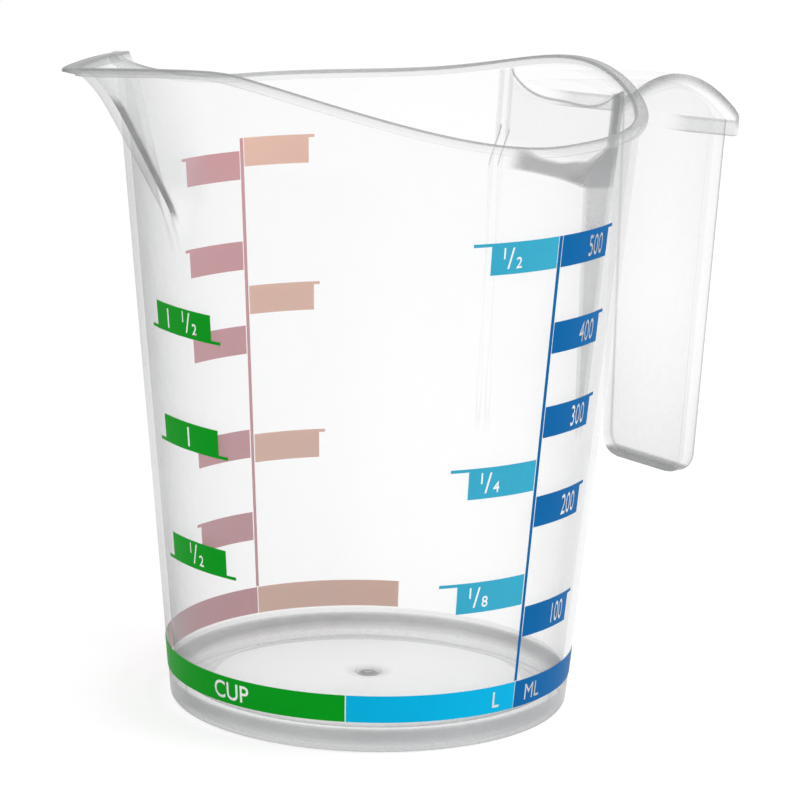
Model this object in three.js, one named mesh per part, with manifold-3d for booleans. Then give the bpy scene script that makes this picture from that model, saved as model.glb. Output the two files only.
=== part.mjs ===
// Half-litre measuring jug of clear polypropylene, moulded in one piece, with its printed scales.
// Millimetres, +Z up. The jug stands on z = 0, its handle points to +X and its spout to -X.
// Angles are in degrees round the jug's axis, from 0 at the handle to 180 at the spout.

import * as THREE from "three";
import Module from "manifold-3d";

const { degToRad, radToDeg, lerp, smoothstep } = THREE.MathUtils;
const wasm = await Module();
wasm.setup();

// ---- Sizes of the vessel ----
const BASE_RADIUS = 37.8; // outside, at the table
const WALL_SLOPE = 0.0938; // growth of the radius per millimetre of height
const WALL = 1.3;
const FLOOR_TOP = 4.2;
const FLOOR_THICKNESS = 1.6;
const FLOOR_FILLET = 2.0;
const FOOT_ROUND = 1.1; // outer edge of the foot ring
const FOOT_RING_WIDTH = 1.9;
const FOOT_SLOPE_WIDTH = 5.0; // the underside rises from the ring to the floor over this width
const GATE_RADIUS = 2.6; // moulding mark in the middle of the floor
const GATE_DEPTH = 0.4;
const GATE_PIP_RADIUS = 1.3;

// ---- Rim: low along the sides, with a swell over the handle and a rise to the spout ----
const RIM_HEIGHT = 113.0;
const HANDLE_RISE = 6.3;
const HANDLE_RISE_SPREAD = 30;
const SPOUT_RISE = 13.3;
const SPOUT_RISE_FROM = 85;
const SPOUT_RISE_TO = 175;
const BEAD_HEIGHT = 1.7;
const BEAD_OUT = 1.2;
const BEAD_ROUND = 0.4;

// ---- Spout: a folded channel that runs out to a keel ----
const SPOUT_LENGTH = 32; // height of the fold below the tip
const SPOUT_SLOPE = 0.52; // how far the keel runs out per millimetre of height
const SPOUT_LIP = 3.6; // further curl of the keel at the tip
const SPOUT_LIP_POWER = 12;
const SPOUT_FOLD_ANGLE = 32; // between the keel's plane and each side
const SPOUT_NOSE_ANGLE = 1.4; // blunts the keel
const SPOUT_BLEND = 3.0; // softening where the spout leaves the wall

// ---- Recess in the wall behind the handle, for the fingers ----
const RECESS_HALF_ANGLE = 19.5;
const RECESS_SIDE_ANGLE = 2.5; // taper of each side of the recess
const RECESS_DEPTH = 5.0; // at the height where its panel starts to lean out
const RECESS_FLARE_DROP = 23.2; // from the crest of the rim down to that height
const RECESS_FLARE_RUN = 8.5; // height over which the panel leans out
const DISH_HEIGHT = 6.2; // hollow between the panel's curved top edge and the rim
const DISH_MARGIN = 0.5;
const DISH_EDGE_DEPTH = 3.1; // in the middle of that edge
const DISH_END_DEPTH = 1.2; // at its two ends

// ---- Handle: a vaulted roof and a strap that hangs from it, open at the foot ----
const ROOF_REACH = 77.0; // from the jug's axis
const ROOF_HALF_WIDTH = 17.1;
const ROOF_THICKNESS = 1.8;
const ROOF_LIP = 1.2; // extra depth along its three free edges
const ROOF_LIP_WIDTH = 1.4;
const ROOF_CORNER = 3.0;
const ROOF_CROWN_DROP = 3.3; // crown at the rim, below the rim's crest
const ROOF_FALL = 2.4; // crown at the outer edge, below the crown at the rim
const ROOF_ARCH = 7.2; // rise of the vault across its width
const ROOF_ROOT_DROP = 1.2; // root below the rim's bead
const ROOF_BLEND = 7.0; // run over which the rim's line turns into the vault
const STRAP_SETBACK = 3.2; // strap's outer face behind the roof's outer edge
const STRAP_LEAN = 2.7; // inward lean of the strap over its length
const STRAP_FOOT_HEIGHT = 35.7;
const STRAP_HALF_WIDTH_TOP = 15.0;
const STRAP_HALF_WIDTH_FOOT = 12.2;
const STRAP_THICKNESS = 1.7;
const STRAP_CORNER = 5.0;
const STRAP_BEAD = 0.9; // raised edge on the side that faces the jug
const STRAP_BEAD_WIDTH = 1.5;

// ---- Printed scales ----
const INK_THICKNESS = 0.15;
const INK_LIFT = 0.15; // from the wall's true cone
const INK_GAP = 0.2; // between neighbouring prints
const BAND_BOTTOM = 6.1;
const BAND_TOP = 11.3;
const BAND_BARE_HALF_ANGLE = 43; // left bare on each side of the handle
const CUP_BAND_HALF_ANGLE = 45.6; // on each side of the spout
const BLUE_BAR = { length: 14.8, height: 5.9 };
const GREEN_BAR = { length: 16.4, height: 5.3 };
const BACK_BAR = { length: 14.0, height: 5.6 };
const ML_TICK = 1.6; // how far a tick runs on past its bar
const LITRE_TICK = 3.6;
const CUP_TICK = 2.2;
const BACK_TICK = 1.2;
const TICK_HEIGHT = 0.6;
const LINE_WIDTH = 0.75;
const RIM_CLEARANCE = 3.0; // no print closer than this to the rim's bead
const ML_LINE_ANGLE = -84;
const ROSE_LINE_ANGLE = 86.7;

const DARK_BLUE = 0x0068b0;
const LIGHT_BLUE = 0x55adcc;
const BAND_BLUE = 0x00afe1;
const GREEN = 0x0a9437;
const ROSE = 0xd88a98;
const ORANGE = 0xeda578;

// Heights of the marks. A blue, rose or orange bar has its mark along its top edge, a green one along its foot.
const ML_MARKS = { 100: 25.9, 200: 47.2, 300: 64.3, 400: 80.3, 500: 96.5 };
const LITRE_MARKS = { eighth: 32.5, quarter: 54.5, half: ML_MARKS[500] };
const CUP_MARKS = { half: 30.8, one: 53.7, one_and_a_half: 75.3 };
const ROSE_MARKS = { 1: 26.5, 2: 43.0, 3: 63.7, 4: 80.3, 5: 98.0 };
const ORANGE_MARKS = { 1: 41.9, 2: 71.4, 3: 100.5 };

// ---- Faceting ----
const PLAIN_STEP = 5.8;
const FLARE_ROWS = 4;
const LIP_ROWS = 4; // closer together towards the rim

// ---- Closed bodies ----
function closedBody(points, triangles) {
  let volume = 0;
  for (const [a, b, c] of triangles) {
    volume += points[a].dot(points[b].clone().cross(points[c]));
  }
  const outward = volume > 0 ? triangles : triangles.map(([a, b, c]) => [a, c, b]);
  return new wasm.Manifold(new wasm.Mesh({
    numProp: 3,
    vertProperties: new Float32Array(points.flatMap((p) => [p.x, p.y, p.z])),
    triVerts: new Uint32Array(outward.flat()),
  }));
}

// A skin between two poles on the axis, through a stack of closed loops of equal length.
function bodyFromLoops(startPole, loops, endPole) {
  const n = loops[0].length;
  const points = [startPole, ...loops.flat(), endPole];
  const last = points.length - 1;
  const at = (row, column) => 1 + row * n + (column % n);
  const triangles = [];
  for (let c = 0; c < n; c += 1) {
    triangles.push([0, at(0, c + 1), at(0, c)]);
    triangles.push([last, at(loops.length - 1, c), at(loops.length - 1, c + 1)]);
    for (let r = 0; r < loops.length - 1; r += 1) {
      triangles.push([at(r, c), at(r, c + 1), at(r + 1, c + 1)]);
      triangles.push([at(r, c), at(r + 1, c + 1), at(r + 1, c)]);
    }
  }
  return closedBody(points, triangles);
}

// A plate between two grids: place(u, v, face) gives a point of face 0 or face 1.
function plate(us, vs, place) {
  const points = [];
  for (const face of [0, 1]) {
    for (const u of us) {
      for (const v of vs) points.push(place(u, v, face));
    }
  }
  const at = (i, j, face) => (face * us.length + i) * vs.length + j;
  const triangles = [];
  const quad = (a, b, c, d) => triangles.push([a, b, c], [a, c, d]);
  const iLast = us.length - 1;
  const jLast = vs.length - 1;
  for (let i = 0; i < iLast; i += 1) {
    for (let j = 0; j < jLast; j += 1) {
      quad(at(i, j, 0), at(i, j + 1, 0), at(i + 1, j + 1, 0), at(i + 1, j, 0));
      quad(at(i, j, 1), at(i + 1, j, 1), at(i + 1, j + 1, 1), at(i, j + 1, 1));
    }
    quad(at(i, 0, 0), at(i + 1, 0, 0), at(i + 1, 0, 1), at(i, 0, 1));
    quad(at(i, jLast, 0), at(i, jLast, 1), at(i + 1, jLast, 1), at(i + 1, jLast, 0));
  }
  for (let j = 0; j < jLast; j += 1) {
    quad(at(0, j, 0), at(0, j, 1), at(0, j + 1, 1), at(0, j + 1, 0));
    quad(at(iLast, j, 0), at(iLast, j + 1, 0), at(iLast, j + 1, 1), at(iLast, j, 1));
  }
  return closedBody(points, triangles);
}

const steps = (from, to, count) => Array.from({ length: count + 1 }, (_, i) => lerp(from, to, i / count));
const polar = (radius, angle, z) => new THREE.Vector3(
  radius * Math.cos(degToRad(angle)), radius * Math.sin(degToRad(angle)), z,
);

// ---- The wall as a radius at each angle and height; skin is the depth below its outer face ----
const coneRadius = (z) => BASE_RADIUS + WALL_SLOPE * z;

function rimHeight(angle) {
  const swell = Math.exp(-((angle / HANDLE_RISE_SPREAD) ** 2));
  return RIM_HEIGHT + HANDLE_RISE * swell
    + SPOUT_RISE * smoothstep(Math.abs(angle), SPOUT_RISE_FROM, SPOUT_RISE_TO);
}

const CREST = rimHeight(0);
const TIP_HEIGHT = rimHeight(180);
const SPOUT_FOOT = TIP_HEIGHT - SPOUT_LENGTH;
const FLARE_HEIGHT = CREST - RECESS_FLARE_DROP;
const FLARE_TOP = FLARE_HEIGHT + RECESS_FLARE_RUN;
const beadFoot = (angle) => rimHeight(angle) - BEAD_HEIGHT;

// The panel's top edge dips in the middle, and the dish rises from it to the rim.
function dishEdge(angle) {
  const hollow = Math.max(0, 1 - Math.abs(angle / RECESS_HALF_ANGLE) ** 3);
  return beadFoot(angle) - DISH_MARGIN - DISH_HEIGHT * hollow;
}

function recessRadius(angle, z) {
  const edge = dishEdge(angle);
  const foot = beadFoot(angle);
  const panel = coneRadius(FLARE_HEIGHT) - RECESS_DEPTH;
  const lipDepth = lerp(DISH_EDGE_DEPTH, DISH_END_DEPTH, Math.min(1, (angle / RECESS_HALF_ANGLE) ** 2));
  if (z <= edge) return lerp(panel, coneRadius(z) - lipDepth, smoothstep(z, FLARE_HEIGHT, FLARE_TOP));
  return lerp(coneRadius(edge) - lipDepth, coneRadius(foot), (z - edge) / (foot - edge));
}

const RECESS_SIDE_FROM = RECESS_HALF_ANGLE - RECESS_SIDE_ANGLE / 2;
const RECESS_SIDE_TO = RECESS_HALF_ANGLE + RECESS_SIDE_ANGLE / 2;
const skinAngle = (skin) => radToDeg(skin / (coneRadius(FLARE_HEIGHT) - RECESS_DEPTH));

function spoutRadius(angle, z, skin) {
  const fold = degToRad(SPOUT_FOLD_ANGLE);
  const nose = degToRad(SPOUT_NOSE_ANGLE);
  const aside = Math.hypot(degToRad(180 - Math.abs(angle)), nose);
  const height = z - SPOUT_FOOT;
  const curl = SPOUT_LIP * Math.max(0, height / SPOUT_LENGTH) ** SPOUT_LIP_POWER;
  const keel = coneRadius(z) + SPOUT_SLOPE * height + curl - skin / Math.sin(fold);
  return keel * Math.sin(fold + nose) / Math.sin(fold + aside);
}

function softMax(a, b, blend) {
  return Math.max(a, b) + Math.max(0, blend - Math.abs(a - b)) ** 2 / (4 * blend);
}

function wallRadius(angle, z, skin = 0) {
  const cone = coneRadius(z) - skin;
  if (Math.abs(angle) > 90) return softMax(cone, spoutRadius(angle, z, skin), SPOUT_BLEND);
  const shift = skinAngle(skin);
  const share = 1 - smoothstep(Math.abs(angle), RECESS_SIDE_FROM + shift, RECESS_SIDE_TO + shift);
  return cone - share * Math.max(0, coneRadius(z) - recessRadius(angle, z));
}

// ---- The vessel, column by column round the axis ----
function columnAngles() {
  const panel = steps(0, RECESS_SIDE_FROM, 4);
  const side = steps(RECESS_SIDE_FROM, RECESS_SIDE_TO + skinAngle(WALL), 5).slice(1);
  const spout = [0, 1, 2.2, 4, 6.5, 9.5, 13, 17].map((a) => 180 - a).reverse();
  const plainFrom = side[side.length - 1];
  const plain = steps(plainFrom, spout[0], Math.ceil((spout[0] - plainFrom) / PLAIN_STEP)).slice(1, -1);
  const half = [...panel, ...side, ...plain, ...spout];
  const other = half.slice(1, -1).map((a) => -a).reverse();
  return [...half, ...other];
}

function columnProfile(angle) {
  const edge = dishEdge(angle);
  const foot = beadFoot(angle);
  const top = rimHeight(angle);
  const outerFoot = coneRadius(0) - FOOT_ROUND;
  const innerFoot = outerFoot - FOOT_RING_WIDTH;
  const underside = FLOOR_TOP - FLOOR_THICKNESS;
  const floorSide = FLOOR_TOP + FLOOR_FILLET;
  const recessFoot = FLARE_HEIGHT - RECESS_DEPTH / WALL_SLOPE;
  const spoutStart = SPOUT_FOOT - SPOUT_BLEND / SPOUT_SLOPE;

  const heights = [
    ...[recessFoot, (recessFoot + FLARE_HEIGHT) / 2, spoutStart, FLARE_HEIGHT].sort((a, b) => a - b),
    ...steps(FLARE_HEIGHT, FLARE_TOP, FLARE_ROWS).slice(1),
    ...steps(0, 1, LIP_ROWS).slice(1).map((s) => lerp(FLARE_TOP, edge, 1 - (1 - s) ** 1.6)),
    ...steps(edge, foot, 2).slice(1),
  ];
  const outside = heights.map((z) => [wallRadius(angle, z), z]);
  const inside = heights.map((z) => [wallRadius(angle, z, WALL), z]).reverse();
  const bead = wallRadius(angle, top) + BEAD_OUT;
  const bore = wallRadius(angle, top, WALL);
  const fillet = steps(0, 90, 3).map((a) => [
    coneRadius(floorSide) - WALL - FLOOR_FILLET * (1 - Math.cos(degToRad(a))),
    floorSide - FLOOR_FILLET * Math.sin(degToRad(a)),
  ]);
  return [
    [innerFoot - FOOT_SLOPE_WIDTH, underside],
    [innerFoot, 0],
    [outerFoot, 0],
    [outerFoot + 0.7 * FOOT_ROUND, 0.3 * FOOT_ROUND],
    [coneRadius(FOOT_ROUND), FOOT_ROUND],
    ...outside,
    [wallRadius(angle, foot) + BEAD_OUT, foot + BEAD_ROUND],
    [bead, top - BEAD_ROUND],
    [bead - BEAD_ROUND, top],
    [bore + BEAD_ROUND, top],
    [bore, top - BEAD_ROUND],
    ...inside,
    ...fillet,
    [GATE_RADIUS, FLOOR_TOP],
    [GATE_RADIUS - GATE_DEPTH, FLOOR_TOP - GATE_DEPTH],
    [GATE_PIP_RADIUS, FLOOR_TOP - GATE_DEPTH],
    [GATE_PIP_RADIUS - GATE_DEPTH / 2, FLOOR_TOP],
  ];
}

function vessel() {
  const angles = columnAngles();
  const profiles = angles.map(columnProfile);
  const loops = profiles[0].map((_, row) => profiles.map((profile, column) => {
    const [radius, z] = profile[row];
    return polar(radius, angles[column], z);
  }));
  return bodyFromLoops(
    new THREE.Vector3(0, 0, FLOOR_TOP - FLOOR_THICKNESS),
    loops,
    new THREE.Vector3(0, 0, FLOOR_TOP),
  );
}

// ---- Handle ----
const rootRadius = coneRadius(beadFoot(0));

function roofHeight(x, y) {
  const away = Math.max(0, Math.hypot(x, y) - rootRadius);
  const along = Math.max(0, (x - rootRadius) / (ROOF_REACH - rootRadius));
  const vault = CREST - ROOF_CROWN_DROP - ROOF_FALL * along ** 2 - ROOF_ARCH * (y / ROOF_HALF_WIDTH) ** 2;
  const rimLine = beadFoot(radToDeg(Math.atan2(y, x))) - ROOF_ROOT_DROP;
  return lerp(rimLine, vault, 1 - Math.exp(-away / ROOF_BLEND));
}

// Half-width of an outline whose two corners at the far end are rounded; left is the length still to go.
function roundedEnd(halfWidth, corner, left) {
  if (left >= corner) return halfWidth;
  return halfWidth - corner + Math.sqrt(Math.max(0, corner ** 2 - (corner - left) ** 2));
}

function roof() {
  const fractions = [...steps(0, 0.3, 5), ...steps(0.3, 0.88, 5).slice(1), 0.93, 0.96, 0.98, 0.995, 1];
  const edge = ROOF_LIP_WIDTH / ROOF_HALF_WIDTH;
  const half = [0, 0.21, 0.42, 0.62, 1 - edge * 2, 1 - edge, 1];
  const across = [...half.slice(1).map((v) => -v).reverse(), ...half];
  return plate(fractions, across, (u, v, face) => {
    const left = (1 - u) * (ROOF_REACH - rootRadius);
    const y = v * roundedEnd(ROOF_HALF_WIDTH, ROOF_CORNER, left);
    const rootX = Math.sqrt(rootRadius ** 2 - y ** 2);
    const inset = Math.min(left, (1 - Math.abs(v)) * ROOF_HALF_WIDTH);
    const lip = ROOF_LIP * (1 - smoothstep(inset, ROOF_LIP_WIDTH, ROOF_LIP_WIDTH * 2));
    const drop = face * (ROOF_THICKNESS + lip);
    const angle = radToDeg(Math.atan2(y, rootX));
    const startZ = roofHeight(rootX, y) - drop;
    const startX = (wallRadius(angle, startZ) - WALL * 0.7) * Math.cos(degToRad(angle));
    const x = lerp(startX, ROOF_REACH, u);
    return new THREE.Vector3(x, y, roofHeight(x, y) - drop);
  });
}

function strap() {
  const topX = ROOF_REACH - STRAP_SETBACK;
  const cornerRows = steps(0, STRAP_CORNER, 6).map((z) => z / (CREST - STRAP_FOOT_HEIGHT));
  const rows = [...cornerRows, ...steps(cornerRows[6], 1, 5).slice(1)];
  const edge = STRAP_BEAD_WIDTH / STRAP_HALF_WIDTH_FOOT;
  const half = [0, 0.3, 0.6, 1 - edge * 1.5, 1 - edge, 1];
  const across = [...half.slice(1).map((v) => -v).reverse(), ...half];
  return plate(rows, across, (u, v, face) => {
    const outerX = topX - STRAP_LEAN * (1 - u);
    const widest = lerp(STRAP_HALF_WIDTH_FOOT, STRAP_HALF_WIDTH_TOP, u);
    const fromFoot = u * (CREST - STRAP_FOOT_HEIGHT);
    const y = v * roundedEnd(widest, STRAP_CORNER, fromFoot);
    const ceiling = roofHeight(outerX, y) - ROOF_THICKNESS / 2;
    const rim = Math.max(Math.abs(v) > 1 - edge * 1.2 ? 1 : 0, fromFoot < STRAP_BEAD_WIDTH ? 1 : 0);
    const x = outerX - face * (STRAP_THICKNESS + STRAP_BEAD * rim);
    return new THREE.Vector3(x, y, lerp(STRAP_FOOT_HEIGHT, ceiling, u));
  });
}

// ---- Prints: thin films on the cone ----
function film(fromAngle, toAngle, bottom, top) {
  const count = Math.max(1, Math.ceil((toAngle - fromAngle) / PLAIN_STEP));
  return plate(steps(fromAngle, toAngle, count), [bottom, top], (angle, z, face) => (
    polar(coneRadius(z) + INK_LIFT + face * INK_THICKNESS, angle, z)
  ));
}

const arc = (length, z) => radToDeg(length / coneRadius(z));
const highestPrint = RIM_HEIGHT - BEAD_HEIGHT - RIM_CLEARANCE;

// A bar beside a line, with a tick that runs on along its marked edge; side is +1 or -1.
function sideMark(lineAngle, side, top, { length, height }, tick) {
  const near = lineAngle + side * arc(LINE_WIDTH / 2 + INK_GAP, top);
  const end = near + side * arc(length, top);
  const tip = end + side * arc(tick, top);
  const bar = film(Math.min(near, end), Math.max(near, end), top - height, top);
  return bar.add(film(Math.min(near, tip), Math.max(near, tip), top - TICK_HEIGHT, top));
}

// A bar across the spout's plane, with a tick on both sides along its foot.
function cupMark(foot) {
  const half = arc(GREEN_BAR.length / 2, foot);
  const reach = half + arc(CUP_TICK, foot);
  const bar = film(180 - half, 180 + half, foot, foot + GREEN_BAR.height);
  return bar.add(film(180 - reach, 180 + reach, foot, foot + TICK_HEIGHT));
}

// ---- Assembly ----
const jug = new THREE.Group();
jug.name = "measuring_jug";
const spoutReach = wallRadius(180, TIP_HEIGHT) + BEAD_OUT;
jug.position.x = (spoutReach - ROOF_REACH) / 2; // the middle of the whole length lies over the origin

function addPiece(name, solid, colour, roughness) {
  const mesh = solid.getMesh();
  const geometry = new THREE.BufferGeometry();
  geometry.setAttribute("position", new THREE.BufferAttribute(new Float32Array(mesh.vertProperties), 3));
  geometry.setIndex(new THREE.BufferAttribute(new Uint32Array(mesh.triVerts), 1));
  geometry.computeVertexNormals();
  const material = new THREE.MeshStandardMaterial({ color: colour, roughness, metalness: 0 });
  const piece = new THREE.Mesh(geometry, material);
  piece.name = name;
  jug.add(piece);
}

function addMarks(prefix, marks, colour, rise, shape) {
  for (const [label, height] of Object.entries(marks)) {
    if (height + rise <= highestPrint) addPiece(`${prefix}_mark_${label}`, shape(height), colour, 0.4);
  }
}

function addLine(name, angle, marks, colour) {
  const top = Math.max(...Object.values(marks).filter((height) => height <= highestPrint));
  const half = arc(LINE_WIDTH / 2, top);
  addPiece(name, film(angle - half, angle + half, BAND_TOP + INK_GAP, top), colour, 0.4);
}

function addBand(name, fromAngle, toAngle, colour) {
  const gap = arc(INK_GAP / 2, BAND_BOTTOM);
  addPiece(name, film(fromAngle + gap, toAngle - gap, BAND_BOTTOM, BAND_TOP), colour, 0.4);
}

addPiece("jug_body", vessel().add(roof()).add(strap()), 0xf1f3f3, 0.2);

const cupEnd = 180 - CUP_BAND_HALF_ANGLE;
addBand("ml_band", ML_LINE_ANGLE, -BAND_BARE_HALF_ANGLE, DARK_BLUE);
addBand("litre_band", -cupEnd, ML_LINE_ANGLE, BAND_BLUE);
addBand("cup_band", cupEnd, 180 + CUP_BAND_HALF_ANGLE, GREEN);
addBand("rose_band", ROSE_LINE_ANGLE, cupEnd, ROSE);
addBand("orange_band", BAND_BARE_HALF_ANGLE, ROSE_LINE_ANGLE, ORANGE);

addLine("ml_line", ML_LINE_ANGLE, ML_MARKS, DARK_BLUE);
addLine("rose_line", ROSE_LINE_ANGLE, ORANGE_MARKS, ROSE);

addMarks("ml", ML_MARKS, DARK_BLUE, 0, (top) => sideMark(ML_LINE_ANGLE, 1, top, BLUE_BAR, ML_TICK));
addMarks("litre", LITRE_MARKS, LIGHT_BLUE, 0, (top) => sideMark(ML_LINE_ANGLE, -1, top, BLUE_BAR, LITRE_TICK));
addMarks("cup", CUP_MARKS, GREEN, GREEN_BAR.height, cupMark);
addMarks("rose", ROSE_MARKS, ROSE, 0, (top) => sideMark(ROSE_LINE_ANGLE, 1, top, BACK_BAR, BACK_TICK));
addMarks("orange", ORANGE_MARKS, ORANGE, 0, (top) => sideMark(ROSE_LINE_ANGLE, -1, top, BACK_BAR, BACK_TICK));

export default jug;
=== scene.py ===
import math

import bmesh
import bpy
from mathutils import Matrix, Vector


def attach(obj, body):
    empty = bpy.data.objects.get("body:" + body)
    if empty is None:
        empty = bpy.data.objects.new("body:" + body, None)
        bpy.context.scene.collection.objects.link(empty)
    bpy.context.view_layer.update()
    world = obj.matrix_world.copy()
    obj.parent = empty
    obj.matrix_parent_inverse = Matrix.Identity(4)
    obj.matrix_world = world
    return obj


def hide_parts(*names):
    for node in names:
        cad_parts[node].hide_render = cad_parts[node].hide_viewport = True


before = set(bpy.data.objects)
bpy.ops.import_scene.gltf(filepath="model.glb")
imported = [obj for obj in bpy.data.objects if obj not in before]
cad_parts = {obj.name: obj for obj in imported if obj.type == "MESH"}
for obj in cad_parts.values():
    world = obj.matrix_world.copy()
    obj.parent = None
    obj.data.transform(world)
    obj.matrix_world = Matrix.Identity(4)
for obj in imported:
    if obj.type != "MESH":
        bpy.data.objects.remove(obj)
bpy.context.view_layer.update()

MM = 0.001

# ---- The jug's own sizes ----
# Millimetres, and angles in degrees from the handle (0) to the spout (180).
AXIS_X = -2.95653
BASE_RADIUS = 37.8
WALL_SLOPE = 0.0938

# ---- Print ----
PRINT_LIFT = 0.05  # ink above the wall
PRINT_THICKNESS = 0.06
PRINT_STEP = 1.4  # longest straight piece of a film that goes round the cone
BAND_BOTTOM = 6.1
BAND_TOP = 11.3
TICK_HEIGHT = 0.6
LINE_WIDTH = 0.75
PRINT_GAP = 0.2
FIGURE_SHARE = 0.72  # a figure's height as a share of its font size
ML_LINE = -84  # angle of the dark blue upright line
ROSE_LINE = 86.7  # angle of the rose upright line
BARE_HALF_ANGLE = 43  # the foot bands leave this bare on each side of the handle
CUP_HALF_ANGLE = 45.6  # the green band's reach on each side of the spout
NEAR_BAR = (14.8, 5.9)  # length and height of the blue bars
FAR_BAR = (14.0, 5.6)  # of the rose and orange bars
CUP_BAR = (16.4, 5.3)  # of the green bars
ML_TICK = 1.6
LITRE_TICK = 3.6
FAR_TICK = 1.2
CUP_TICK = 2.2
ML_TOP = 96.5  # top of the blue scales
ROSE_LINE_TOP = 100.5


def cone_radius(z):
    return BASE_RADIUS + WALL_SLOPE * z


def cone_point(angle, z, lift):
    """A point above the jug's outer cone, in metres."""
    radius = cone_radius(z) + lift
    turn = math.radians(angle)
    return Vector((
        (AXIS_X + radius * math.cos(turn)) * MM,
        radius * math.sin(turn) * MM,
        z * MM,
    ))


def arc(length, z):
    """Angle that a length takes up round the cone at height z."""
    return math.degrees(length / cone_radius(z))


def steps(start, end, step):
    """Even stations from start to end, no further apart than step."""
    count = max(1, math.ceil(abs(end - start) / step))
    return [start + (end - start) * i / count for i in range(count + 1)]


# ---- Shader groups ----
def new_group(name, inputs, outputs):
    group = bpy.data.node_groups.new(name, "ShaderNodeTree")
    for label, kind, value in inputs:
        socket = group.interface.new_socket(label, in_out="INPUT", socket_type=kind)
        socket.default_value = value
    for label, kind in outputs:
        group.interface.new_socket(label, in_out="OUTPUT", socket_type=kind)
    return group, group.nodes.new("NodeGroupInput"), group.nodes.new("NodeGroupOutput")


def build_mottle_group():
    """Fine cloudiness: a mask and a height that wander a little over the surface."""
    group, given, result = new_group(
        "surface mottle",
        [
            ("Scale", "NodeSocketFloat", 40.0),
            ("Fine Scale", "NodeSocketFloat", 900.0),
            ("Fine Share", "NodeSocketFloat", 0.3),
        ],
        [("Mask", "NodeSocketFloat"), ("Height", "NodeSocketFloat")],
    )
    nodes, links = group.nodes, group.links
    place = nodes.new("ShaderNodeTexCoord")
    broad = nodes.new("ShaderNodeTexNoise")
    broad.inputs["Detail"].default_value = 3
    fine = nodes.new("ShaderNodeTexNoise")
    fine.inputs["Detail"].default_value = 2
    blend = nodes.new("ShaderNodeMix")
    links.new(place.outputs["Object"], broad.inputs["Vector"])
    links.new(place.outputs["Object"], fine.inputs["Vector"])
    links.new(given.outputs["Scale"], broad.inputs["Scale"])
    links.new(given.outputs["Fine Scale"], fine.inputs["Scale"])
    links.new(given.outputs["Fine Share"], blend.inputs["Factor"])
    links.new(broad.outputs["Fac"], blend.inputs["A"])
    links.new(fine.outputs["Fac"], blend.inputs["B"])
    links.new(blend.outputs["Result"], result.inputs["Mask"])
    links.new(fine.outputs["Fac"], result.inputs["Height"])
    return group


mottle = build_mottle_group()


def start_material(name):
    material = bpy.data.materials.new(name)
    material.use_nodes = True
    nodes = material.node_tree.nodes
    nodes.clear()
    surface = nodes.new("ShaderNodeBsdfPrincipled")
    output = nodes.new("ShaderNodeOutputMaterial")
    material.node_tree.links.new(surface.outputs["BSDF"], output.inputs["Surface"])
    return material, nodes, material.node_tree.links, surface


def place_mottle(nodes, scale, fine_scale, fine_share):
    node = nodes.new("ShaderNodeGroup")
    node.node_tree = mottle
    node.inputs["Scale"].default_value = scale
    node.inputs["Fine Scale"].default_value = fine_scale
    node.inputs["Fine Share"].default_value = fine_share
    return node


def map_value(nodes, links, source, low, high, from_low=0.35, from_high=0.65):
    node = nodes.new("ShaderNodeMapRange")
    node.inputs["From Min"].default_value = from_low
    node.inputs["From Max"].default_value = from_high
    node.inputs["To Min"].default_value = low
    node.inputs["To Max"].default_value = high
    links.new(source, node.inputs["Value"])
    return node.outputs["Result"]


# ---- Materials ----
# The plastic's tints, and its densities: shares of the light that it keeps. Apart from the clear
# tint they are painted shade: grey at outlines, bends, side walls and folds, and on solid parts on
# top of their own milkiness.
CLEAR_TINT = (0.88, 0.885, 0.89, 1)
OUTLINE_SHADE_TINT = (0.24, 0.245, 0.25, 1)
SOLID_AND_SHADE_TINT = (0.36, 0.365, 0.37, 1)
FOLD_SHADE_TINT = (0.12, 0.12, 0.125, 1)
THIN_DENSITY = 0.03  # a plain wall seen face on
OUTLINE_SHADE_BASE_DENSITY = 0.052
OUTLINE_SHADE_DENSITY = 0.54
BEND_SHADE_DENSITY = 0.5
FLANK_SHADE_DENSITY = 0.38
MOST_DENSE = 0.9


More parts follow.
